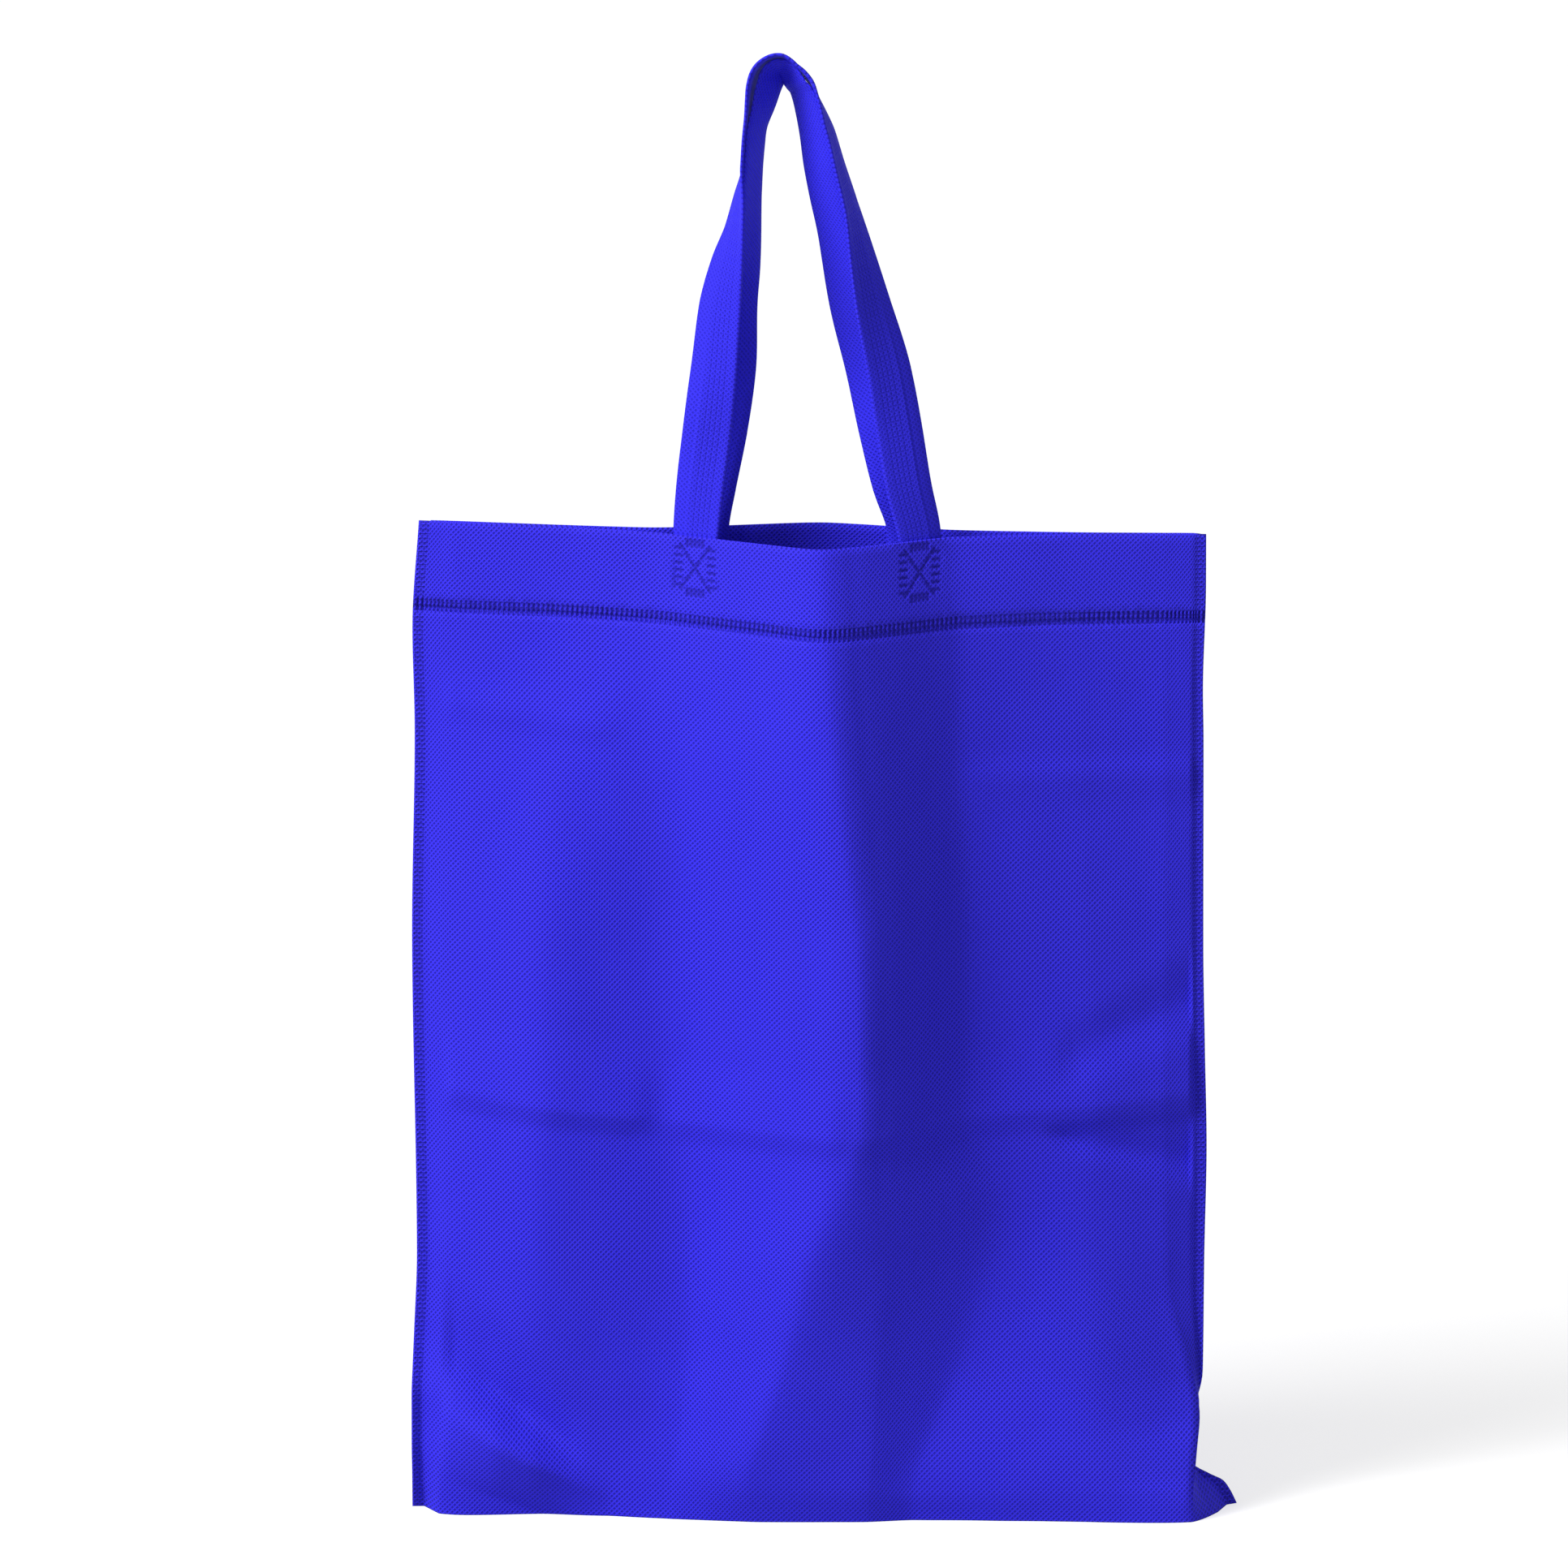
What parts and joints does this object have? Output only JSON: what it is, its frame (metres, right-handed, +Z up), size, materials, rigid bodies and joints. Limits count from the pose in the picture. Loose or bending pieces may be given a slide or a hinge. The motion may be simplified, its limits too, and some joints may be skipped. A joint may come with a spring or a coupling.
{
  "type": "non-woven carrier bag",
  "caption": "Blue non-woven carrier bag standing open, with a turned-in hem, welded side seams and two loop handles drawn up together.",
  "frame": {"origin": "on the floor, at the middle of the opened bottom, below the middle of the bag", "axes": "+Z up along the bag's height, +Y from the front panel to the back panel, +X across the bag to the right as seen from the front"},
  "size_m": [0.3487, 0.0844, 0.6328],
  "materials": {
    "bag_cloth": "matt non-woven cloth with a fine diagonal grid of bonded points",
    "handle_cloth": "matt non-woven cloth, folded in layers, with rows of bonded dots"
  },
  "bodies": {
    "root": {"bag_body": "bag_cloth", "front_handle": "handle_cloth", "back_handle": "handle_cloth"}
  },
  "joints": []
}
